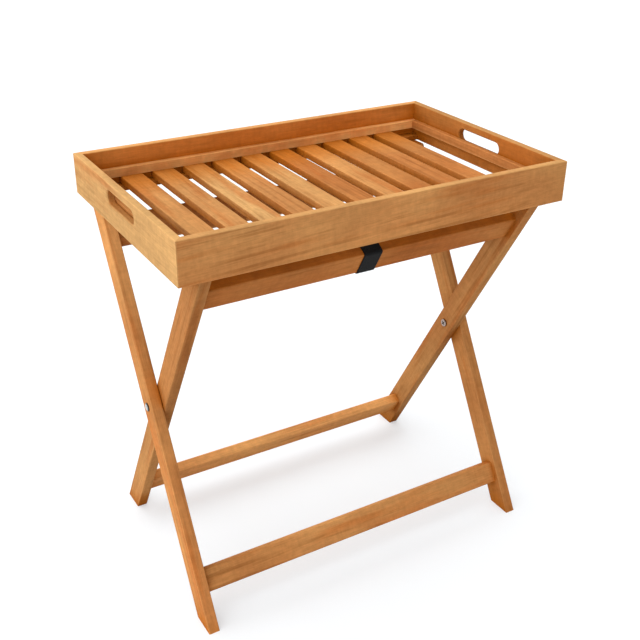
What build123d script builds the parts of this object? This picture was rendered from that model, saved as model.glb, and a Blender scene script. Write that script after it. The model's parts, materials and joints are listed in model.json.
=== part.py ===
from build123d import *
import math
import os

# Butler tray table: a slatted tray with hand holes, resting on a folding crossed-leg stand.
# Millimetres, +Z up, front towards -Y, origin on the floor under the middle of the table.

# Overall size
TRAY_WIDTH = 650.0
TRAY_DEPTH = 400.0
TABLE_HEIGHT = 669.0

# Tray walls, mitred at the corners
WALL_HEIGHT = 65.0
WALL_THICK = 12.0
RIM_ROUND = 1.6
WALL_FOOT_ROUND = 0.8

# Hand holes in the left and right wall
HAND_HOLE_LENGTH = 106.0
HAND_HOLE_HEIGHT = 21.0
HAND_HOLE_BELOW_RIM = 12.0
HAND_HOLE_BEVEL = 1.6

# Slats and the cleats that carry them
SLAT_COUNT = 10
SLAT_WIDTH = 36.0
SLAT_THICK = 12.0
SLAT_PITCH = 53.4
SLAT_BELOW_RIM = 43.5
SLAT_END_GAP = 0.5
SLAT_ROUND = 1.5
CLEAT_WIDTH = 16.0
CLEAT_ROUND = 1.0

# Battens round the inside of the walls, level with the foot of the hand holes
BATTEN_WIDTH = 8.0
BATTEN_HEIGHT = 14.0
BATTEN_ROUND = 1.5

# Legs of the two frames
LEG_THICK = 18.0
LEG_DEPTH = 39.0
LEG_ROUND = 1.5
OUTER_LEG_FACE = 308.5
LEG_GAP = 0.8
PIVOT_HEIGHT = 310.0
FOOT_OFFSET = 177.0

# Rails, measured along the leg from the pivot
RAIL_THICK = 19.0
RAIL_ROUND = 2.5
TOP_RAIL_TO = 303.0
TOP_FRONT_RAIL_FROM = 258.5
TOP_BACK_RAIL_FROM = 255.0
BOTTOM_RAIL_FROM = -308.0
BOTTOM_RAIL_TO = -270.4

# Multi-groove dowels between rails and legs
DOWEL_RADIUS = 4.0
DOWEL_SIDES = 12
DOWEL_IN_LEG = 11.0
DOWEL_IN_RAIL = 19.0
DOWEL_SPACING = 20.0

# Pivot sleeve, its screw and the washer between the legs
SLEEVE_RADIUS = 4.0
SLEEVE_BORE_RADIUS = 2.5
SLEEVE_BORE_DEPTH = 22.0
PIVOT_HEAD_RADIUS = 7.0
DOME_LAND = 1.0
DOME_HEIGHT = 2.6
DOME_STEPS = 2
PIVOT_SCREW_HEAD = 2.6
PIVOT_SCREW_EDGE = 0.6
PIVOT_SCREW_LENGTH = 20.0
RECESS_REACH = 4.4
RECESS_WIDTH = 2.0
RECESS_DEPTH = 1.8
RECESS_TURN = 45.0
RUNNING_CLEARANCE = 0.05
END_PLAY = 0.3
WASHER_RADIUS = 9.0
WASHER_THICK = 0.6

# Webbing strap between the two top rails; its level is measured along the leg from the pivot
STRAP_WIDTH = 32.0
STRAP_THICK = 2.0
STRAP_LEVEL = 280.0
STRAP_TAIL = 12.0

# Derived positions
HALF_WIDTH = TRAY_WIDTH / 2
HALF_DEPTH = TRAY_DEPTH / 2
INNER_X = HALF_WIDTH - WALL_THICK
INNER_Y = HALF_DEPTH - WALL_THICK
TRAY_FOOT = TABLE_HEIGHT - WALL_HEIGHT
SLAT_TOP = TABLE_HEIGHT - SLAT_BELOW_RIM
SLAT_FOOT = SLAT_TOP - SLAT_THICK
LEAN = math.degrees(math.atan2(FOOT_OFFSET, PIVOT_HEIGHT))
OUTER_LEG_INSIDE = OUTER_LEG_FACE - LEG_THICK
INNER_LEG_FACE = OUTER_LEG_INSIDE - LEG_GAP
INNER_LEG_INSIDE = INNER_LEG_FACE - LEG_THICK
OUTER, INNER = 1, -1
RAILS = {
    OUTER: (("top_back_rail", TOP_BACK_RAIL_FROM, TOP_RAIL_TO),
            ("bottom_front_rail", BOTTOM_RAIL_FROM, BOTTOM_RAIL_TO)),
    INNER: (("top_front_rail", TOP_FRONT_RAIL_FROM, TOP_RAIL_TO),
            ("bottom_back_rail", BOTTOM_RAIL_FROM, BOTTOM_RAIL_TO)),
}
NEAR = 0.01


def save(shape, node):
    export_step(shape, f"parts/{node}.step")


def group(solids):
    return Compound(children=list(solids))


def wall_section():
    section = Rectangle(WALL_THICK, WALL_HEIGHT)
    section = fillet(section.vertices().group_by(Axis.Y)[-1], RIM_ROUND)
    return fillet(section.vertices().group_by(Axis.Y)[0], WALL_FOOT_ROUND)


def mitre_block(corners):
    face = make_face(Polyline(*corners, close=True))
    return extrude(Pos(0, 0, TRAY_FOOT) * face, WALL_HEIGHT)


def long_wall(side):
    """Front (side -1) or back (side +1) wall."""
    centre = side * (HALF_DEPTH - WALL_THICK / 2)
    board = extrude(
        Plane.YZ * Pos(centre, TRAY_FOOT + WALL_HEIGHT / 2) * wall_section(),
        HALF_WIDTH, both=True)
    corners = [(-HALF_WIDTH, side * HALF_DEPTH), (HALF_WIDTH, side * HALF_DEPTH),
               (INNER_X, side * INNER_Y), (-INNER_X, side * INNER_Y)]
    return board & mitre_block(corners)


def hand_hole_edge(edge):
    middle = edge.center()
    hole_z = TABLE_HEIGHT - HAND_HOLE_BELOW_RIM - HAND_HOLE_HEIGHT / 2
    on_face = min(abs(abs(middle.X) - HALF_WIDTH), abs(abs(middle.X) - INNER_X)) < NEAR
    in_height = abs(middle.Z - hole_z) < HAND_HOLE_HEIGHT / 2 + NEAR
    return on_face and in_height and abs(middle.Y) < HAND_HOLE_LENGTH / 2 + NEAR


def end_wall(side):
    """Left (side -1) or right (side +1) wall with its hand hole."""
    centre = side * (HALF_WIDTH - WALL_THICK / 2)
    board = extrude(
        Plane.XZ * Pos(centre, TRAY_FOOT + WALL_HEIGHT / 2) * wall_section(),
        HALF_DEPTH, both=True)
    corners = [(side * HALF_WIDTH, -HALF_DEPTH), (side * HALF_WIDTH, HALF_DEPTH),
               (side * INNER_X, INNER_Y), (side * INNER_X, -INNER_Y)]
    board = board & mitre_block(corners)
    hole_z = TABLE_HEIGHT - HAND_HOLE_BELOW_RIM - HAND_HOLE_HEIGHT / 2
    slot = Plane.YZ * Pos(0, hole_z) * SlotOverall(HAND_HOLE_LENGTH, HAND_HOLE_HEIGHT)
    board = board - Pos(centre, 0, 0) * extrude(slot, WALL_THICK, both=True)
    return chamfer(board.edges().filter_by(hand_hole_edge), HAND_HOLE_BEVEL)


def slat_centre(index):
    return (index - (SLAT_COUNT - 1) / 2) * SLAT_PITCH


def slat(index):
    section = Rectangle(SLAT_WIDTH, SLAT_THICK)
    section = fillet(section.vertices(), SLAT_ROUND)
    place = Plane.XZ * Pos(slat_centre(index), SLAT_TOP - SLAT_THICK / 2)
    return extrude(place * section, INNER_Y - SLAT_END_GAP, both=True)


def cleat(side):
    section = Rectangle(CLEAT_WIDTH, SLAT_FOOT - TRAY_FOOT)
    free_edge = section.vertices().sort_by(Axis.X)[:2] if side > 0 else \
        section.vertices().sort_by(Axis.X)[2:]
    section = fillet(free_edge, CLEAT_ROUND)
    centre = side * (INNER_Y - CLEAT_WIDTH / 2)
    return extrude(Plane.YZ * Pos(centre, (TRAY_FOOT + SLAT_FOOT) / 2) * section,
                   INNER_X, both=True)


def batten_section(side):
    """Strip standing on the level of the slats, rounded at its free upper edge."""
    section = Rectangle(BATTEN_WIDTH, BATTEN_HEIGHT)
    upper = section.vertices().group_by(Axis.Y)[-1].sort_by(Axis.X)
    section = fillet(upper[0 if side > 0 else -1], BATTEN_ROUND)
    return Pos(-side * BATTEN_WIDTH / 2, SLAT_TOP + BATTEN_HEIGHT / 2) * section


def long_batten(side):
    """Front or back batten, on the slat ends and from end wall to end wall."""
    return extrude(Plane.YZ * Pos(side * INNER_Y, 0) * batten_section(side), INNER_X, both=True)


def end_batten(side):
    """Left or right batten, between the front and the back one."""
    return extrude(Plane.XZ * Pos(side * INNER_X, 0) * batten_section(side),
                   INNER_Y - BATTEN_WIDTH, both=True)


def on_leg(frame, along, across=0.0):
    """Point (y, z) at a distance along a leg of a frame; across is towards the upper side."""
    lean = math.radians(LEAN)
    y = frame * (along * math.sin(lean) - across * math.cos(lean))
    return y, PIVOT_HEIGHT + along * math.cos(lean) + across * math.sin(lean)


def leg(frame, side):
    """Leg of the outer or inner frame at the left (-1) or right (+1)."""
    half = LEG_DEPTH / 2 / math.cos(math.radians(LEAN))
    foot = -frame * FOOT_OFFSET
    top = frame * (TRAY_FOOT - PIVOT_HEIGHT) * FOOT_OFFSET / PIVOT_HEIGHT
    outline = Polyline((foot - half, 0), (foot + half, 0), (top + half, TRAY_FOOT),
                       (top - half, TRAY_FOOT), close=True)
    face = OUTER_LEG_FACE if frame == OUTER else INNER_LEG_FACE
    start = min(side * face, side * (face - LEG_THICK))
    board = extrude(Plane.YZ.offset(start) * make_face(outline), LEG_THICK)
    board = fillet([e for e in board.edges() if e.length > TRAY_FOOT], LEG_ROUND)
    radius = SLEEVE_RADIUS if frame == OUTER else SLEEVE_RADIUS + RUNNING_CLEARANCE
    return board - Pos(start, 0, PIVOT_HEIGHT) * Rot(0, 90, 0) * Cylinder(
        radius, 3 * LEG_THICK)


def rail_section(frame, start, end, grow=0.0):
    place = Pos(*on_leg(frame, (start + end) / 2)) * Rot(0, 0, -frame * LEAN)
    return place * RectangleRounded(RAIL_THICK + 2 * grow, end - start + 2 * grow,
                                    RAIL_ROUND + grow)


def rail(frame, start, end):
    length = OUTER_LEG_INSIDE if frame == OUTER else INNER_LEG_INSIDE
    return extrude(Plane.YZ * rail_section(frame, start, end), length, both=True)


def dowels(frame):
    face = OUTER_LEG_INSIDE if frame == OUTER else INNER_LEG_INSIDE
    section = Plane.YZ * RegularPolygon(DOWEL_RADIUS, DOWEL_SIDES)
    dowel = extrude(section, (DOWEL_IN_LEG + DOWEL_IN_RAIL) / 2, both=True)
    reach = face + (DOWEL_IN_LEG - DOWEL_IN_RAIL) / 2
    middles = [(start + end) / 2 for _, start, end in RAILS[frame]]
    return [Pos(side * reach, *on_leg(frame, middle + step * DOWEL_SPACING / 2)) * dowel
            for middle in middles for step in (-1, 1) for side in (-1, 1)]


def turned(outline):
    """Ring about the pivot axis from an outline in (x, radius)."""
    return Pos(0, 0, PIVOT_HEIGHT) * revolve(make_face(outline), Axis.X)


def dome_profile(start, base_radius, height):
    """Points (x, radius) round a spherical cap, from its edge to its top."""
    ball = (base_radius ** 2 + height ** 2) / (2 * height)
    edge = math.asin(base_radius / ball)
    angles = [edge * (1 - step / DOME_STEPS) for step in range(DOME_STEPS + 1)]
    return [(start + height - ball + ball * math.cos(angle), ball * math.sin(angle))
            for angle in angles]


def pivot_sleeve():
    """Right-hand sleeve with its domed head against the outer leg."""
    inside = INNER_LEG_INSIDE - END_PLAY
    bottom = inside + SLEEVE_BORE_DEPTH
    dome = dome_profile(OUTER_LEG_FACE + DOME_LAND, PIVOT_HEAD_RADIUS, DOME_HEIGHT)
    outline = Polyline((bottom, 0), (bottom, SLEEVE_BORE_RADIUS),
                       (inside, SLEEVE_BORE_RADIUS), (inside, SLEEVE_RADIUS),
                       (OUTER_LEG_FACE, SLEEVE_RADIUS), (OUTER_LEG_FACE, PIVOT_HEAD_RADIUS),
                       *dome, close=True)
    return turned(outline)


def pivot_screw():
    """Right-hand screw with its cross-recessed head against the inner leg."""
    under = INNER_LEG_INSIDE - END_PLAY
    face = under - PIVOT_SCREW_HEAD
    edge = PIVOT_SCREW_EDGE
    outline = Polyline((face, 0), (face, PIVOT_HEAD_RADIUS - edge),
                       (face + edge, PIVOT_HEAD_RADIUS), (under, PIVOT_HEAD_RADIUS),
                       (under, SLEEVE_BORE_RADIUS),
                       (under + PIVOT_SCREW_LENGTH, SLEEVE_BORE_RADIUS),
                       (under + PIVOT_SCREW_LENGTH, 0), close=True)
    arms = Rectangle(2 * RECESS_REACH, RECESS_WIDTH) + Rectangle(RECESS_WIDTH, 2 * RECESS_REACH)
    recess = extrude(Plane.YZ * Rot(0, 0, RECESS_TURN) * arms, RECESS_DEPTH)
    return turned(outline) - Pos(face, 0, PIVOT_HEIGHT) * recess


def pivot_washer():
    side = OUTER_LEG_INSIDE
    outline = Polyline((side - WASHER_THICK, SLEEVE_RADIUS), (side, SLEEVE_RADIUS),
                       (side, WASHER_RADIUS), (side - WASHER_THICK, WASHER_RADIUS), close=True)
    return turned(outline)


def strap():
    """One band: once round the top front rail, level to the top back rail and turned down on it."""
    loop = rail_section(INNER, TOP_FRONT_RAIL_FROM, TOP_RAIL_TO, STRAP_THICK)
    loop -= rail_section(INNER, TOP_FRONT_RAIL_FROM, TOP_RAIL_TO)
    layer = (RAIL_THICK + STRAP_THICK) / 2
    end_y, level_z = on_leg(OUTER, STRAP_LEVEL, layer)
    run = Pos(0, level_z) * Rectangle(2 * end_y, STRAP_THICK)
    tail_middle = STRAP_LEVEL + (STRAP_THICK - STRAP_TAIL) / 2
    tail = Pos(*on_leg(OUTER, tail_middle, layer)) * Rot(0, 0, -OUTER * LEAN) * Rectangle(
        STRAP_THICK, STRAP_TAIL)
    return extrude(Plane.YZ * (loop + run + tail), STRAP_WIDTH / 2, both=True)


os.makedirs("parts", exist_ok=True)

# Tray
for side, name in ((-1, "front"), (1, "back")):
    save(long_wall(side), f"{name}_wall")
    save(cleat(side), f"{name}_cleat")
    save(long_batten(side), f"{name}_batten")
for side, name in ((-1, "left"), (1, "right")):
    save(end_wall(side), f"{name}_wall")
    save(end_batten(side), f"{name}_batten")
for index in range(SLAT_COUNT):
    save(slat(index), f"slat_{index + 1:02d}")

# Stand
for frame, name in ((OUTER, "outer"), (INNER, "inner")):
    pegs = dowels(frame)
    for side, hand in ((-1, "left"), (1, "right")):
        save(leg(frame, side) - pegs, f"{name}_{hand}_leg")
    for node, start, end in RAILS[frame]:
        save(rail(frame, start, end) - pegs, node)
    save(group(pegs), f"{name}_dowels")
save(strap(), "strap")

# Pivots
for build, name in ((pivot_sleeve, "sleeve"), (pivot_screw, "screw"), (pivot_washer, "washer")):
    right = build()
    save(right, f"right_pivot_{name}")
    save(mirror(right, about=Plane.YZ), f"left_pivot_{name}")
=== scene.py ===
import json
import math
import random

import bmesh
import bpy
from mathutils import Matrix, Vector
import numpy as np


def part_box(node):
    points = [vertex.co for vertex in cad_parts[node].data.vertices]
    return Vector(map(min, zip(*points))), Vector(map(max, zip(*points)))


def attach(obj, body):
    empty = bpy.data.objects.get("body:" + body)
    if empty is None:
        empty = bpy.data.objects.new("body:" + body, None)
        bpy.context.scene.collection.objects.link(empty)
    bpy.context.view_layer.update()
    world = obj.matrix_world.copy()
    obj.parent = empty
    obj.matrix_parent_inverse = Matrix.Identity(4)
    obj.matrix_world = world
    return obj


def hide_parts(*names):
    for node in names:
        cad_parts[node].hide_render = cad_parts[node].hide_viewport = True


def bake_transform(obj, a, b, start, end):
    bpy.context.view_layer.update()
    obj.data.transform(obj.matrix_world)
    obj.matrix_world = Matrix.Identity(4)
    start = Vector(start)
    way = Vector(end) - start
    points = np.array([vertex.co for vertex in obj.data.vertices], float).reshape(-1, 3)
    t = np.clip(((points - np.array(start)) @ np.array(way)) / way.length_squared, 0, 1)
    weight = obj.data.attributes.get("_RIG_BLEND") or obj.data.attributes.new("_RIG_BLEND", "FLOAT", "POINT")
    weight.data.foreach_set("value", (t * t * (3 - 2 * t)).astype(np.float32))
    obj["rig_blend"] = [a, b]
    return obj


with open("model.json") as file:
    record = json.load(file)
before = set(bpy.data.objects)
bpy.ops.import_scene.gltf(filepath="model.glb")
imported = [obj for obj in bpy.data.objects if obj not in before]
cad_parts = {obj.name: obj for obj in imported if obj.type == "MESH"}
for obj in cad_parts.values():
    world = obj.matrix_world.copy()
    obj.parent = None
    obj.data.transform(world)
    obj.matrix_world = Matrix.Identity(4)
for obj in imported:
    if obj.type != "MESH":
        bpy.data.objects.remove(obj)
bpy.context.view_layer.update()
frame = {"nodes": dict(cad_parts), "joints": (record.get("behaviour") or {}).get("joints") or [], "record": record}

# Butler tray table: finishes, strap, small screws, light and camera around the fixed frame.
# Metres, +Z up, front towards -Y. Colours are linear.

# Places taken from the frame
joints = {joint["name"]: joint for joint in frame["joints"]}
mounts = {mount["name"]: Vector(mount["pos_m"]) for mount in frame["record"]["mounts"]}
PIVOT = Vector(joints["fold"]["pos_m"])
LEAN = math.atan2(mounts["inner_left_foot"].y, PIVOT.z)
SLATS = sorted(name for name in frame["nodes"] if name.startswith("slat_"))
TRAY_INNER_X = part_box("front_cleat")[1].x
TRAY_INNER_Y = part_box("back_cleat")[1].y
TRAY_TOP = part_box("front_wall")[1].z

# Camera
CAMERA_PLACE = Vector((-0.7385, -1.2408, 1.1406))
CAMERA_YAW = 0.5396
CAMERA_PITCH = 0.4821
CAMERA_ROLL = 0.0126
IMAGE_SIDE = 640
FOCAL_PIXELS = 970.86
SENSOR_WIDTH = 36.0

# Light and floor
WHITE = (1.0, 1.0, 1.0)
SKY_STRENGTH = 0.81
SKY_LEAN = (-1.9, -0.1, 0.0)
SUN_STRENGTH = 1.69
SUN_FROM = Vector((0.3, 0.4, 1.0))
SUN_SPREAD = math.radians(70)
FLOOR_HALF = 30.0
FLOOR_BOUNCE = (0.6, 0.6, 0.6)
FLOOR_SHOWN = (0.92, 0.963, 1.0)
FLOOR_GLOW = 0.45

# Random draws, and the levels between which most noise lies
SEED = 7
NOISE_RANGE = (0.3, 0.7)

# Boards: node, way of the grain, tone, hue from russet (-1) to pale (1), strength of the rings
# Some tones and hues are painted light: the left wall's pale hue is a painted sheen from the light on the left,
# and the high tones of the back batten and the bottom back rail are painted light on boards that the lamps leave
# in shade
BOARDS = (
    ("front_wall", "slanting", 1.10, 0.25, 0.45), ("back_wall", "x", 1.25, -0.30, 0.45),
    ("left_wall", "y", 1.00, 0.90, 0.2), ("right_wall", "y", 0.90, 0.0, 0.25),
    ("front_cleat", "x", 0.90, 0.0, 0.3), ("back_cleat", "x", 0.90, 0.0, 0.3),
    ("front_batten", "x", 1.00, 0.10, 0.3), ("back_batten", "x", 1.40, 0.40, 0.3),
    ("left_batten", "y", 1.00, 0.10, 0.3), ("right_batten", "y", 1.00, 0.10, 0.3),
    ("slat_01", "y", 1.10, 0.25, 0.4), ("slat_02", "y", 1.00, 0.40, 0.3),
    ("slat_03", "y", 1.05, 0.85, 0.4), ("slat_04", "y", 1.05, 0.25, 0.3),
    ("slat_05", "y", 1.10, 0.50, 0.3), ("slat_06", "y", 1.00, 0.05, 0.4),
    ("slat_07", "y", 1.05, 0.20, 0.3), ("slat_08", "y", 1.00, -0.20, 0.3),
    ("slat_09", "y", 1.05, 0.10, 0.4), ("slat_10", "y", 1.00, -0.10, 0.3),
    ("outer_left_leg", "outer", 1.15, 0.15, 0.3), ("outer_right_leg", "outer", 0.95, 0.10, 0.3),
    ("inner_left_leg", "inner", 0.90, 0.25, 0.3), ("inner_right_leg", "inner", 0.85, 0.20, 0.3),
    ("top_back_rail", "x", 0.85, -0.10, 0.3), ("top_front_rail", "x", 1.00, -0.35, 0.4),
    ("bottom_front_rail", "x", 1.15, 0.15, 0.4), ("bottom_back_rail", "x", 1.40, 0.30, 0.2),
    ("outer_dowels", "x", 1.00, 0.90, 0.2), ("inner_dowels", "x", 1.00, 0.90, 0.2),
)
FRONT_WALL_SLANT = 0.05

# Colours of the wood
HONEY = (0.54, 0.24, 0.075)
AMBER = (0.44, 0.155, 0.042)
GRAIN_BROWN = (0.22, 0.07, 0.015)
PALE = (0.61, 0.35, 0.135)
RUSSET = (0.44, 0.125, 0.026)
# Painted shade in tight corners and on the sides of the slats
PAINTED_SHADE_BROWN = (0.36, 0.10, 0.004)
# Painted shade and orange bounce light at the back of the slats and inside the walls
PAINTED_SHADE_GOLD = (0.50, 0.14, 0.006)

# Growth rings round the heart of the tree, which lies a little way off the board
HEART_DISTANCE = (0.06, 0.16)
GRAIN_SHIFT = 2.0
RING_WIDTH = 0.012
RING_STRETCH = 0.05
RING_SCALE = 2 * math.pi / (20 * RING_WIDTH)
LATE_WOOD = (0.62, 1.0)

# Traits of the wood as noise: stretch along the grain, scale, detail, roughness
TRAITS = {
    "zone": (0.3, 15, 2, 0.5),
    "drift": (0.5, 8, 2, 0.5),
    "flame": (0.1, 48, 3, 0.5),
    "streak": (0.06, 150, 3, 0.5),
    "pore": (0.05, 2300, 1, 0.5),
    "fibre": (0.03, 700, 3, 0.6),
    "mottle": (0.45, 150, 3, 0.6),
    "silk": (4.0, 40, 3, 0.6),
    "broad": (0.5, 10, 2, 0.5),
}

# Traits that mark the wood: noise levels where the mark starts and where it is full
MARKS = {"zone": (0.46, 0.62), "drift": (0.36, 0.64), "flame": (0.50, 0.72),
         "streak": (0.56, 0.74), "pore": (0.66, 0.74)}
FLAME_SHARE = 0.55
STREAK_LEAST = 0.15
STREAK_GROWTH = 0.5
PORE_SHARE = 0.25

# Traits that shade the wood: tones at low and at high noise
SHADES = {"fibre": (0.93, 1.06), "mottle": (0.93, 1.06), "silk": (0.955, 1.045),
          "broad": (0.90, 1.08)}

# Wear, painted highlights and painted shade on the wood
FACE_MARGIN = 0.001
EDGE_RADIUS = 0.003
EDGE_FACING = (0.99, 0.8)
# Paler edges and rim: partly wear, partly a painted highlight
RIM_WEAR_AND_HIGHLIGHT = (0.0015, 0.0005)
WEAR_AND_HIGHLIGHT_SHARE = 0.5
# Painted shade in tight corners and down the sides of the slats
CORNER_SHADE_REACH = 0.06
CORNER_SHADE_OPENNESS = (0.97, 0.4)
CORNER_SHADE_SHARE = 0.9
BATTEN_CORNER_SHADE_SHARE = 0.3
SLAT_SIDE_SHADE_SHARE = 0.8
# Painted shade and bounce light at the back of the slats and inside the walls
SLAT_SHADE_Y = (0.06, 0.15)
SLAT_SHADE_SHARE = 0.6
WALL_INSIDE_SHADE_SHARE = 0.35
WOOD_ROUGHNESS = (0.66, 0.54)
WOOD_BUMP = (0.2, 0.0002)
WOOD_IOR = 1.45
WOOD_SPECULAR = 0.015

# Metal; the ring of painted shade is given in shares of a head's radius
ZINC = (0.62, 0.60, 0.57)
DULL_ZINC = (0.42, 0.33, 0.29)
PAINTED_SHADE_METAL = (0.03, 0.027, 0.024)
CAP_ROUGHNESS = 0.18
ZINC_ROUGHNESS = 0.25
ROUGHNESS_SPREAD = (0.7, 1.4)
PATCH_SCALE = 400
PATCH_TONES = (0.8, 1.05)
SCRATCH_SCALE = 900
SCRATCH_STRETCH = 12
# Painted shade in the recesses and in a ring round a domed head
METAL_SHADE_REACH = 0.006
METAL_SHADE_RING = (0.62, 0.9)
METAL_SHADE_SHARE = 0.9
METAL_BUMP = (0.1, 0.0001)

# Pivot sleeves
SLEEVE_RADIUS = 0.004
SLEEVE_BORE_RADIUS = 0.0025
SLEEVE_BORE_DEPTH = 0.022
DOME_LAND_SHARE = 0.35
DOME_STEPS = 10

# Strap of webbing between the two top rails, measured along the leg from the pivot
RAIL_TOP = 0.303
RAIL_FOOT = 0.2585
RAIL_HALF = 0.0095
RAIL_ROUND = 0.0025
STRAP_WIDTH = 0.032
STRAP_THICK = 0.0018
STRAP_LEVEL = 0.280
STRAP_TAIL = 0.012
STRAP_FOLD = 0.0024
STRAP_STEP = 0.0025
STRAP_RIBS = 11
RIB_STEPS = 4
RIB_DEPTH = 0.18
BAND_EDGE_LEAST = 0.05
ARC_STEPS = 6

# Webbing
WEBBING_DARK = (0.0015, 0.0017, 0.0018)
WEBBING_LIGHT = (0.008, 0.009, 0.0095)
WARP_SCALE = 330
WARP_WAVER = 0.6
WEFT_SCALE = 230
WEFT_WAVER = 0.4
FUZZ_SCALE = 1500
WEAVE_RANGE = (0.3, 1.3)
WEBBING_ROUGHNESS = (0.6, 0.85)
WEBBING_BUMP = (0.5, 0.0003)
WEBBING_SPECULAR = 0.15

# Small screws
SCREW_HEAD = 0.0036
SCREW_RISE = 0.0006
SCREW_SEGMENTS = 24
STRAP_SCREW_BELOW = 0.0075
STRAP_SCREW_ASIDE = 0.008

# Meshes
TURNED_SEGMENTS = 48
SHARP_DEGREES = 35
STRAP_SHARP_DEGREES = 50


# Node helpers

def add(tree, kind, inputs=None, **settings):
    """A new node; inputs holds values and sockets to link, by name or number."""
    node = tree.nodes.new(kind)
    for name, value in settings.items():
        setattr(node, name, value)
    for name, value in (inputs or {}).items():
        if isinstance(value, bpy.types.NodeSocket):
            tree.links.new(value, node.inputs[name])
        else:
            node.inputs[name].default_value = value
    return node


def maths(tree, operation, first, second):
    return add(tree, "ShaderNodeMath", {0: first, 1: second}, operation=operation).outputs[0]


def times(tree, first, second):
    return maths(tree, "MULTIPLY", first, second)


def largest(tree, first, second):
    return maths(tree, "MAXIMUM", first, second)


def remap(tree, value, low, high, to_low, to_high):
    """A value eased from one range to another."""
    return add(tree, "ShaderNodeMapRange", {0: value, 1: low, 2: high, 3: to_low, 4: to_high},
               interpolation_type="SMOOTHSTEP").outputs[0]


def mix(tree, factor, first, second, blend="MIX"):
    """Two colours mixed; the node's colour sockets are numbers 6 and 7."""
    node = add(tree, "ShaderNodeMix", {0: factor, 6: first, 7: second},
               data_type="RGBA", blend_type=blend)
    return node.outputs[2]


def scaled(tree, colour, factor):
    grey = add(tree, "ShaderNodeCombineColor", {0: factor, 1: factor, 2: factor}).outputs[0]
    return mix(tree, 1.0, colour, grey, "MULTIPLY")


def noise(tree, vector, scale, detail=2, roughness=0.5):
    return add(tree, "ShaderNodeTexNoise", {"Vector": vector, "Scale": scale, "Detail": detail,
                                            "Roughness": roughness}).outputs[0]


def stretch(tree, vector, along):
    return add(tree, "ShaderNodeVectorMath", {0: vector, 1: (along, 1, 1)},
               operation="MULTIPLY").outputs[0]


def object_place(tree):
    return add(tree, "ShaderNodeTexCoord").outputs["Object"]


def rgba(colour):
    return (*colour, 1.0)


def new_material(name):
    material = bpy.data.materials.new(name)
    material.use_nodes = True
    tree = material.node_tree
    return material, tree, tree.nodes["Principled BSDF"]


def surface(tree, shader, colour, roughness, height, bump):
    """Gives a shader its colour, roughness and bump; bump holds strength and depth."""
    strength, depth = bump
    normal = add(tree, "ShaderNodeBump", {"Strength": strength, "Distance": depth,
                                          "Height": height}).outputs[0]
    for name, socket in (("Base Color", colour), ("Roughness", roughness), ("Normal", normal)):
        tree.links.new(socket, shader.inputs[name])


def dress(node_name, material):
    frame["nodes"][node_name].material_slots[0].material = material


# Masks

def edge_mask(tree, radius):
    """1 on edges, which are paler partly from wear and partly as a painted highlight; 0 on flat faces."""
    rounded = add(tree, "ShaderNodeBevel", {"Radius": radius}, samples=4).outputs[0]
    flat = add(tree, "ShaderNodeNewGeometry").outputs["Normal"]
    facing = add(tree, "ShaderNodeVectorMath", {0: rounded, 1: flat},
                 operation="DOT_PRODUCT").outputs["Value"]
    return remap(tree, facing, *EDGE_FACING, 0.0, 1.0)


def place_mask(tree, axis, start, end):
    """0 before the start on an axis and 1 past the end."""
    places = add(tree, "ShaderNodeSeparateXYZ", {0: object_place(tree)}).outputs
    return remap(tree, places[axis], start, end, 0.0, 1.0)


def inside_mask(tree, wall_name):
    """1 on the face of a wall towards the inside of the tray."""
    low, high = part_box(wall_name)
    axis, inner = ("Y", TRAY_INNER_Y) if high.x - low.x > high.y - low.y else ("X", TRAY_INNER_X)
    sign = 1 if wall_name in ("back_wall", "right_wall") else -1
    return place_mask(tree, axis, sign * (inner + 2 * FACE_MARGIN), sign * (inner + FACE_MARGIN))


def corner_shade_mask(tree, reach):
    """1 in tight corners, where shade is painted, 0 on open faces."""
    openness = add(tree, "ShaderNodeAmbientOcclusion", {"Distance": reach}, samples=8).outputs["AO"]
    return remap(tree, openness, *CORNER_SHADE_OPENNESS, 0.0, 1.0)


# Wood

def board_space(tree, node_name, grain, draw):
    """Coordinates with x along the grain, measured from the heart of the tree."""
    angle = draw.uniform(0, 2 * math.pi)
    distance = draw.uniform(*HEART_DISTANCE)
    shift = draw.uniform(-GRAIN_SHIFT, GRAIN_SHIFT)
    middle = Vector((shift, distance * math.cos(angle), distance * math.sin(angle)))
    side = Vector((1, 0, 0)) if abs(grain.x) < 0.5 else Vector((0, 1, 0))
    rows = Matrix((grain, side, grain.cross(side)))
    low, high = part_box(node_name)
    return add(tree, "ShaderNodeMapping", {
        "Vector": object_place(tree), "Location": middle - rows @ ((low + high) / 2),
        "Rotation": rows.to_euler()}).outputs[0]


def late_wood(tree, space):
    """1 in the dark late wood of the growth rings."""
    rings = add(tree, "ShaderNodeTexWave", {
        "Vector": stretch(tree, space, RING_STRETCH), "Scale": RING_SCALE,
        "Distortion": 9.0, "Detail": 3.0, "Detail Scale": 0.4, "Detail Roughness": 0.6},
        wave_type="RINGS", rings_direction="X", wave_profile="SIN").outputs[1]
    return remap(tree, rings, *LATE_WOOD, 0.0, 1.0)


def trait(tree, space, name):
    along, scale, detail, roughness = TRAITS[name]
    return noise(tree, stretch(tree, space, along), scale, detail, roughness)


def painted_shade_gold_share(tree, node_name):
    """Painted shade and orange bounce light: the wood is deeper in colour at the back of the slats and on the
    inside of the walls.
    """
    if node_name in SLATS:
        return times(tree, place_mask(tree, "Y", *SLAT_SHADE_Y), SLAT_SHADE_SHARE)
    if node_name.endswith("_wall"):
        return times(tree, inside_mask(tree, node_name), WALL_INSIDE_SHADE_SHARE)
    return 0.0


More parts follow.
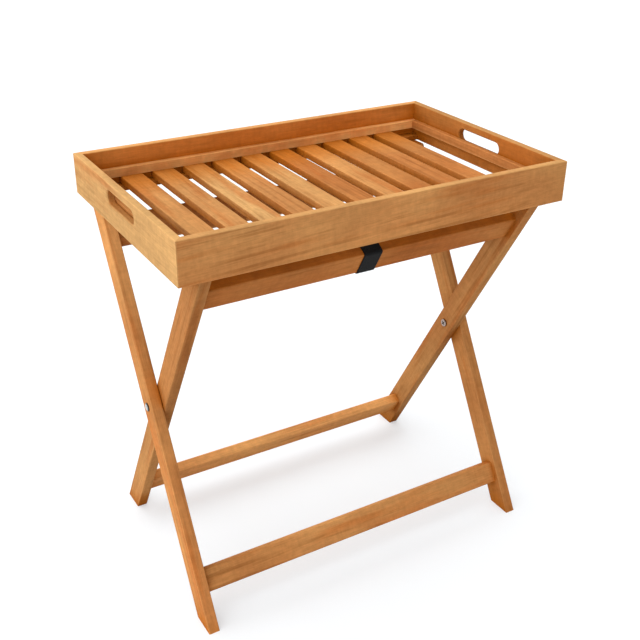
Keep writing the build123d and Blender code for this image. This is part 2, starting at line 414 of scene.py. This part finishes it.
def wear_and_highlight_share(tree):
    """Where the wood is paler, partly from wear and partly as a painted highlight: edges and the rim of the tray.
    """
    start, end = (TRAY_TOP - below for below in RIM_WEAR_AND_HIGHLIGHT)
    rim = place_mask(tree, "Z", start, end)
    return times(tree, largest(tree, edge_mask(tree, EDGE_RADIUS), rim), WEAR_AND_HIGHLIGHT_SHARE)


def painted_shade_share(tree, node_name):
    """Painted shade: darker in tight corners and down the sides of the slats."""
    shade_strength = BATTEN_CORNER_SHADE_SHARE if node_name.endswith("_batten") else CORNER_SHADE_SHARE
    corner_shade = times(tree, corner_shade_mask(tree, CORNER_SHADE_REACH), shade_strength)
    if node_name not in SLATS:
        return corner_shade
    low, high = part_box(node_name)
    side = place_mask(tree, "Z", high.z - FACE_MARGIN, low.z)
    return largest(tree, corner_shade, times(tree, side, SLAT_SIDE_SHADE_SHARE))


def wood(node_name, grain, draw, tone, hue, ring_strength):
    """Oiled hardwood: growth rings, streaks, mottling, fibres and pores; edges paler from wear and a painted
    highlight; painted shade in nooks, on the slat sides, at the back of the slats and inside the walls.
    """
    material, tree, shader = new_material(f"wood_{node_name}")
    space = board_space(tree, node_name, grain.normalized(), draw)
    traits = {name: trait(tree, space, name) for name in TRAITS}
    marks = {name: remap(tree, traits[name], *levels, 0.0, 1.0) for name, levels in MARKS.items()}
    flame = times(tree, marks["flame"], FLAME_SHARE)
    late = times(tree, late_wood(tree, space), times(tree, marks["zone"], ring_strength))
    streak = times(tree, marks["streak"], STREAK_LEAST + STREAK_GROWTH * ring_strength)
    pore = times(tree, marks["pore"], PORE_SHARE)
    colour = rgba(HONEY)
    # Colours mixed in turn: the gold at the back and the brown in corners are painted shade, and the pale on edges
    # and the rim is partly wear, partly a painted highlight
    for share, towards in (
            (marks["drift"], AMBER), (abs(hue), PALE if hue > 0 else RUSSET), (flame, RUSSET),
            (late, GRAIN_BROWN), (streak, GRAIN_BROWN), (pore, GRAIN_BROWN),
            (painted_shade_gold_share(tree, node_name), PAINTED_SHADE_GOLD), (wear_and_highlight_share(tree), PALE),
            (painted_shade_share(tree, node_name), PAINTED_SHADE_BROWN)):
        colour = mix(tree, share, colour, rgba(towards))
    colour = scaled(tree, colour, tone)
    for name, tones in SHADES.items():
        colour = scaled(tree, colour, remap(tree, traits[name], *NOISE_RANGE, *tones))
    roughness = remap(tree, traits["fibre"], *NOISE_RANGE, *WOOD_ROUGHNESS)
    height = maths(tree, "SUBTRACT", traits["fibre"], marks["pore"])
    surface(tree, shader, colour, roughness, height, WOOD_BUMP)
    shader.inputs["IOR"].default_value = WOOD_IOR
    shader.inputs["Specular IOR Level"].default_value = WOOD_SPECULAR
    return material


def dress_wood():
    """Each board gets its own grain, tone and hue."""
    draw = random.Random(SEED)
    ways = {"x": Vector((1, 0, 0)), "y": Vector((0, 1, 0)),
            "slanting": Vector((1, 0, FRONT_WALL_SLANT))}
    for name, sign in (("outer", 1), ("inner", -1)):
        ways[name] = Vector((0, sign * math.sin(LEAN), math.cos(LEAN)))
    for name, way, tone, hue, ring_strength in BOARDS:
        dress(name, wood(name, ways[way], draw, tone, hue, ring_strength))


# Metal

def steel(name, colour, roughness, head=None):
    """Zinc plate with fine scratches and dull patches; painted shade darkens its recesses and rings a head of the
    given radius.
    """
    material, tree, shader = new_material(name)
    place = object_place(tree)
    patches = noise(tree, place, PATCH_SCALE, detail=4)
    scratches = noise(tree, stretch(tree, place, SCRATCH_STRETCH), SCRATCH_SCALE)
    plate = scaled(tree, rgba(colour), remap(tree, patches, *NOISE_RANGE, *PATCH_TONES))
    metal_shade = corner_shade_mask(tree, METAL_SHADE_REACH)
    if head:
        flat = add(tree, "ShaderNodeVectorMath", {0: place, 1: (1, 1, 0)}, operation="MULTIPLY")
        radius = add(tree, "ShaderNodeVectorMath", {0: flat.outputs[0]}, operation="LENGTH")
        start, full = (head * share for share in METAL_SHADE_RING)
        ring = remap(tree, radius.outputs["Value"], start, full, 0.0, METAL_SHADE_SHARE)
        metal_shade = largest(tree, metal_shade, ring)
    smooth, rough = (roughness * factor for factor in ROUGHNESS_SPREAD)
    surface(tree, shader, mix(tree, metal_shade, plate, rgba(PAINTED_SHADE_METAL)),
            remap(tree, scratches, *NOISE_RANGE, smooth, rough), scratches, METAL_BUMP)
    shader.inputs["Metallic"].default_value = 1.0
    return material


def mesh_object(name, shape, material, sharp_degrees=SHARP_DEGREES):
    """An object from a bmesh, smooth except across sharp edges."""
    bmesh.ops.recalc_face_normals(shape, faces=shape.faces)
    for face in shape.faces:
        face.smooth = True
    for edge in shape.edges:
        if len(edge.link_faces) == 2:
            edge.smooth = edge.calc_face_angle() < math.radians(sharp_degrees)
    mesh = bpy.data.meshes.new(name)
    shape.to_mesh(mesh)
    shape.free()
    mesh.materials.append(material)
    piece = bpy.data.objects.new(name, mesh)
    bpy.context.scene.collection.objects.link(piece)
    return piece


def lathe(shape, profile, segments=TURNED_SEGMENTS):
    """Turns a profile of (height, radius) points about +Z into faces."""
    turn = 2 * math.pi / segments
    rings = []
    for height, radius in profile:
        count = segments if radius else 1
        rings.append([shape.verts.new((radius * math.cos(i * turn), radius * math.sin(i * turn),
                                       height)) for i in range(count)])
    for lower, upper in zip(rings, rings[1:]):
        for i in range(segments):
            corners = [lower[i % len(lower)], lower[(i + 1) % len(lower)],
                       upper[(i + 1) % len(upper)], upper[i % len(upper)]]
            shape.faces.new(dict.fromkeys(corners))


def pivot_caps():
    """Sleeves with a domed head, one at each side of the stand."""
    for side, sign in (("left", -1), ("right", 1)):
        node_name = f"{side}_pivot_sleeve"
        low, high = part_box(node_name)
        inside, outside = sorted((abs(low.x), abs(high.x)))
        head = (high.z - low.z) / 2
        wood_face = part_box(f"outer_{side}_leg")[1 if sign > 0 else 0].x * sign
        dome = (1 - DOME_LAND_SHARE) * (outside - wood_face)
        ball = (head ** 2 + dome ** 2) / (2 * dome)
        angles = [math.asin(head / ball) * (1 - i / DOME_STEPS) for i in range(DOME_STEPS)]
        bore_end = inside + SLEEVE_BORE_DEPTH
        profile = [(bore_end, 0), (bore_end, SLEEVE_BORE_RADIUS), (inside, SLEEVE_BORE_RADIUS),
                   (inside, SLEEVE_RADIUS), (wood_face, SLEEVE_RADIUS), (wood_face, head)]
        profile += [(outside - ball + ball * math.cos(a), ball * math.sin(a)) for a in angles]
        profile += [(outside, 0)]
        shape = bmesh.new()
        lathe(shape, profile)
        piece = mesh_object(f"{side}_pivot_cap", shape,
                            steel(f"{side}_cap_zinc", ZINC, CAP_ROUGHNESS, head))
        piece.matrix_world = Matrix.Translation((0, 0, PIVOT.z)) @ Matrix.Rotation(
            sign * math.pi / 2, 4, "Y")
        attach(piece, "outer_frame")
        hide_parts(node_name)


# Strap

def webbing():
    """Black webbing: ribs along the band and weft across it."""
    material, tree, shader = new_material("black_webbing")
    place = add(tree, "ShaderNodeUVMap", uv_map="band").outputs[0]
    warp = add(tree, "ShaderNodeTexWave", {"Vector": place, "Scale": WARP_SCALE,
                                           "Distortion": WARP_WAVER},
               wave_type="BANDS", bands_direction="X").outputs[1]
    weft = add(tree, "ShaderNodeTexWave", {"Vector": place, "Scale": WEFT_SCALE,
                                           "Distortion": WEFT_WAVER},
               wave_type="BANDS", bands_direction="DIAGONAL").outputs[1]
    fuzz = noise(tree, place, FUZZ_SCALE, detail=3)
    height = maths(tree, "ADD", times(tree, warp, weft), fuzz)
    colour = mix(tree, remap(tree, height, *WEAVE_RANGE, 0.0, 1.0), rgba(WEBBING_DARK),
                 rgba(WEBBING_LIGHT))
    roughness = remap(tree, fuzz, *NOISE_RANGE, *WEBBING_ROUGHNESS)
    surface(tree, shader, colour, roughness, height, WEBBING_BUMP)
    shader.inputs["Specular IOR Level"].default_value = WEBBING_SPECULAR
    return material


def arc(centre, radius, start, end):
    angles = [start + (end - start) * i / ARC_STEPS for i in range(ARC_STEPS + 1)]
    return [(centre[0] + radius * math.cos(a), centre[1] + radius * math.sin(a)) for a in angles]


def leg_point(sign, along, across):
    """Point (y, z) of a frame; across is towards the middle of the stand."""
    return (sign * (along * math.sin(LEAN) - across * math.cos(LEAN)),
            PIVOT.z + along * math.cos(LEAN) + across * math.sin(LEAN))


def bend(before, corner, after, radius):
    """The corner between two straight runs, rounded to a radius."""
    corner = Vector(corner)
    to_before = (Vector(before) - corner).normalized()
    to_after = (Vector(after) - corner).normalized()
    half = to_before.angle(to_after) / 2
    centre = corner + (to_before + to_after).normalized() * (radius / math.sin(half))
    start = corner + to_before * (radius / math.tan(half)) - centre
    sweep = (math.pi - 2 * half) * (1 if to_before.cross(to_after) < 0 else -1)
    first = math.atan2(start.y, start.x)
    return arc(centre, radius, first, first + sweep)


def strap_line():
    """Line of the band as (y, z): up to the level run, round the front rail, back and down."""
    radius = RAIL_ROUND + STRAP_THICK / 2
    inset = RAIL_HALF - RAIL_ROUND
    layer = RAIL_HALF + STRAP_THICK / 2
    quarter = math.pi / 2
    corners = ((RAIL_FOOT + RAIL_ROUND, inset), (RAIL_FOOT + RAIL_ROUND, -inset),
               (RAIL_TOP - RAIL_ROUND, -inset), (RAIL_TOP - RAIL_ROUND, inset))
    line = [leg_point(-1, STRAP_LEVEL - STRAP_THICK, layer)]
    for turn, (along, across) in enumerate(corners):
        start = LEAN - turn * quarter
        line += arc(leg_point(-1, along, across), radius, start, start - quarter)
    front = leg_point(-1, STRAP_LEVEL, layer)
    back = leg_point(1, STRAP_LEVEL, layer)
    tail = leg_point(1, STRAP_LEVEL - STRAP_TAIL, layer)
    line += bend(line[-1], front, back, STRAP_FOLD)
    line += bend(front, back, tail, STRAP_FOLD)
    return line + [tail]


def resample(line, step):
    """Points at an even step along a line, with its corners kept."""
    points = [Vector(line[0])]
    for start, end in zip(line, line[1:]):
        start, end = Vector(start), Vector(end)
        count = max(1, round((end - start).length / step))
        points += [start.lerp(end, i / count) for i in range(1, count + 1)]
    return points


def band_section():
    """Points (across, offset) round the section of the band, ribbed and with rounded edges."""
    steps = RIB_STEPS * STRAP_RIBS
    places = [i / steps for i in range(steps + 1)]
    section = []
    for face in (1, -1):
        for place in places[::face]:
            across = STRAP_WIDTH * (place - 0.5)
            rib = 1 - RIB_DEPTH * (1 - abs(math.cos(math.pi * place * STRAP_RIBS)))
            edge = min(1.0, (STRAP_WIDTH / 2 - abs(across)) / (STRAP_THICK / 2))
            fullness = math.sqrt(max(BAND_EDGE_LEAST, edge * (2 - edge)))
            section.append((across, face * STRAP_THICK / 2 * rib * fullness))
    return section


def band_face(shape, layer, corners):
    """A face from corners of (vertex, place on the flat band)."""
    face = shape.faces.new([vertex for vertex, _ in corners])
    for loop, (_, place) in zip(face.loops, corners):
        loop[layer].uv = place


def strap(material):
    """The webbing strap, which folds as the stand closes."""
    line = resample(strap_line(), STRAP_STEP)
    lengths = [0.0]
    for start, end in zip(line, line[1:]):
        lengths.append(lengths[-1] + (end - start).length)
    section = band_section()
    shape = bmesh.new()
    layer = shape.loops.layers.uv.new("band")
    rings = []
    for i, point in enumerate(line):
        ahead = (line[min(i + 1, len(line) - 1)] - line[max(i - 1, 0)]).normalized()
        normal = Vector((-ahead.y, ahead.x))
        ring = []
        for across, offset in section:
            y, z = point + normal * offset
            ring.append((shape.verts.new((across, y, z)), (across, lengths[i])))
        rings.append(ring)
    count = len(section)
    for lower, upper in zip(rings, rings[1:]):
        for i in range(count):
            following = (i + 1) % count
            band_face(shape, layer, [lower[i], lower[following], upper[following], upper[i]])
    for ring in (rings[0], rings[-1]):
        band_face(shape, layer, ring)
    piece = mesh_object("webbing_strap", shape, material, STRAP_SHARP_DEGREES)
    end_y, run_z = leg_point(1, STRAP_LEVEL, RAIL_HALF + STRAP_THICK / 2)
    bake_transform(piece, "outer_frame", "inner_frame", start=(0, end_y, run_z), end=(0, -end_y, run_z))
    even_fold(piece, [point for point in line for _ in range(count)], end_y, run_z)
    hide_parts("strap")


def even_fold(piece, centres, end_y, run_z):
    """Bends the free run evenly by angle about the pivot; what lies on a rail stays with it."""
    angles = [math.atan2(centre.x, centre.y - PIVOT.z) for centre in centres]
    on_run = [abs(centre.y - run_z) < STRAP_THICK / 4 and abs(centre.x) < end_y
              for centre in centres]
    widest = max(angle for angle, free in zip(angles, on_run) if free)
    for share, angle, free in zip(piece.data.attributes["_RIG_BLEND"].data, angles, on_run):
        share.value = 0.5 - (angle if free else math.copysign(widest, angle)) / (2 * widest)


# Small screws

def screw_head(shape, place, normal, turn):
    """A countersunk head with a cross recess, standing a little proud of its face."""
    upright = Vector(normal).to_track_quat("Z", "Y").to_matrix().to_4x4()
    matrix = Matrix.Translation(place) @ upright @ Matrix.Rotation(turn, 4, "Z")
    arm = 0.55 * SCREW_HEAD
    half = 0.14 * SCREW_HEAD
    depth = 0.5 * SCREW_HEAD
    taper = 0.6
    head = bmesh.new()
    lathe(head, [(-SCREW_RISE, 0.8 * SCREW_HEAD), (0, SCREW_HEAD), (0.6 * SCREW_RISE, SCREW_HEAD),
                 (SCREW_RISE, 0.9 * SCREW_HEAD)], SCREW_SEGMENTS)
    rim = [edge for edge in head.edges if edge.is_boundary
           and all(vertex.co.z > 0.9 * SCREW_RISE for vertex in edge.verts)]
    corners = [(arm, -half), (arm, half), (half, half), (half, arm), (-half, arm), (-half, half)]
    corners += [(-x, -y) for x, y in corners]
    mouth = [head.verts.new((x, y, SCREW_RISE)) for x, y in corners]
    bed = [head.verts.new((taper * x, taper * y, SCREW_RISE - depth)) for x, y in corners]
    count = len(corners)
    for i in range(count):
        following = (i + 1) % count
        head.faces.new((mouth[i], mouth[following], bed[following], bed[i]))
    head.faces.new(bed)
    cross = [edge for edge in head.edges if edge.verts[0] in mouth and edge.verts[1] in mouth]
    bmesh.ops.triangle_fill(head, use_beauty=True, edges=rim + cross)
    head.transform(matrix)
    mesh = bpy.data.meshes.new("head")
    head.to_mesh(mesh)
    head.free()
    shape.from_mesh(mesh)
    bpy.data.meshes.remove(mesh)


def screws(name, body, places, normal, material, draw):
    shape = bmesh.new()
    for place in places:
        screw_head(shape, place, normal, draw.uniform(0, math.pi))
    piece = mesh_object(name, shape, material)
    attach(piece, body)


def small_screws(material):
    """Screws up through the cleats into the slats, through the cleats, and at the strap's ends."""
    draw = random.Random(SEED)
    centres = [(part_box(name)[0].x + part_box(name)[1].x) / 2 for name in SLATS]
    between = [(a + b) / 2 for a, b in zip(centres[::2], centres[1::2])]
    for name, sign, body in (("front", -1, "inner_frame"), ("back", 1, "outer_frame")):
        low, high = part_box(f"{name}_cleat")
        middle_y = (low.y + high.y) / 2
        middle_z = (low.z + high.z) / 2
        screws(f"{name}_slat_screws", "tray", [Vector((x, middle_y, low.z)) for x in centres],
               (0, 0, -1), material, draw)
        inner_y = low.y if sign > 0 else high.y
        screws(f"{name}_cleat_screws", "tray", [Vector((x, inner_y, middle_z)) for x in between],
               (0, -sign, 0), material, draw)
        y, z = leg_point(sign, STRAP_LEVEL - STRAP_SCREW_BELOW, RAIL_HALF + STRAP_THICK)
        places = [Vector((x, y, z)) for x in (-STRAP_SCREW_ASIDE, STRAP_SCREW_ASIDE)]
        normal = (0, -sign * math.cos(LEAN), math.sin(LEAN))
        screws(f"{name}_strap_screws", body, places, normal, material, draw)


# Studio

def shown_ray(tree):
    """1 for what is seen directly, in a reflection or through a surface, 0 for light."""
    path = add(tree, "ShaderNodeLightPath").outputs
    seen = largest(tree, path["Is Camera Ray"], path["Is Glossy Ray"])
    return largest(tree, seen, path["Is Transmission Ray"])


def mix_shaders(tree, factor, first, second):
    return add(tree, "ShaderNodeMixShader", {0: factor, 1: first.outputs[0],
                                             2: second.outputs[0]})


def make_floor():
    """A pale floor that keeps the shadow of the table and runs out to white."""
    material, tree, shader = new_material("floor")
    tree.nodes.remove(shader)
    bounced = add(tree, "ShaderNodeBsdfDiffuse", {"Color": rgba(FLOOR_BOUNCE)})
    lit = add(tree, "ShaderNodeBsdfDiffuse", {"Color": rgba(FLOOR_SHOWN)})
    white = add(tree, "ShaderNodeEmission", {"Color": rgba(WHITE), "Strength": 1.0})
    shown = mix_shaders(tree, FLOOR_GLOW, lit, white)
    both = mix_shaders(tree, shown_ray(tree), bounced, shown)
    tree.links.new(both.outputs[0], tree.nodes["Material Output"].inputs["Surface"])
    shape = bmesh.new()
    bmesh.ops.create_grid(shape, x_segments=1, y_segments=1, size=FLOOR_HALF)
    mesh_object("floor", shape, material)


def make_light():
    """A soft overhead light, and a sky that is brighter on the left and shows as white."""
    scene = bpy.context.scene
    scene.view_settings.view_transform = "Standard"
    world = bpy.data.worlds.new("studio")
    scene.world = world
    world.use_nodes = True
    tree = world.node_tree
    way = add(tree, "ShaderNodeTexCoord").outputs["Generated"]
    lean = add(tree, "ShaderNodeVectorMath", {0: way, 1: SKY_LEAN}, operation="DOT_PRODUCT")
    level = largest(tree, maths(tree, "ADD", lean.outputs["Value"], 1.0), 0.0)
    sky = tree.nodes["Background"]
    sky.inputs["Color"].default_value = rgba(WHITE)
    tree.links.new(times(tree, level, SKY_STRENGTH), sky.inputs["Strength"])
    white = add(tree, "ShaderNodeBackground", {"Color": rgba(WHITE), "Strength": 1.0})
    both = mix_shaders(tree, shown_ray(tree), sky, white)
    tree.links.new(both.outputs[0], tree.nodes["World Output"].inputs["Surface"])
    lamp = bpy.data.lights.new("softbox", "SUN")
    lamp.energy = SUN_STRENGTH
    lamp.angle = SUN_SPREAD
    sun = bpy.data.objects.new("softbox", lamp)
    sun.rotation_euler = SUN_FROM.to_track_quat("Z", "Y").to_euler()
    scene.collection.objects.link(sun)


def make_camera():
    """The camera, looking ahead and down with a slight roll."""
    ahead = Vector((math.sin(CAMERA_YAW) * math.cos(CAMERA_PITCH),
                    math.cos(CAMERA_YAW) * math.cos(CAMERA_PITCH), -math.sin(CAMERA_PITCH)))
    right = ahead.cross(Vector((0, 0, 1))).normalized()
    up = right.cross(ahead)
    turn = Matrix((right, up, -ahead)).transposed().to_4x4()
    lens = bpy.data.cameras.new("camera")
    lens.sensor_width = SENSOR_WIDTH
    lens.lens = FOCAL_PIXELS / IMAGE_SIDE * SENSOR_WIDTH
    camera = bpy.data.objects.new("camera", lens)
    camera.matrix_world = Matrix.Translation(CAMERA_PLACE) @ turn @ Matrix.Rotation(
        CAMERA_ROLL, 4, "Z")
    bpy.context.scene.collection.objects.link(camera)
    bpy.context.scene.camera = camera


dress_wood()
zinc = steel("zinc_plate", DULL_ZINC, ZINC_ROUGHNESS)
for side in ("left", "right"):
    for kind in ("screw", "washer"):
        dress(f"{side}_pivot_{kind}", zinc)
pivot_caps()
strap(webbing())
small_screws(zinc)
make_floor()
make_light()
make_camera()
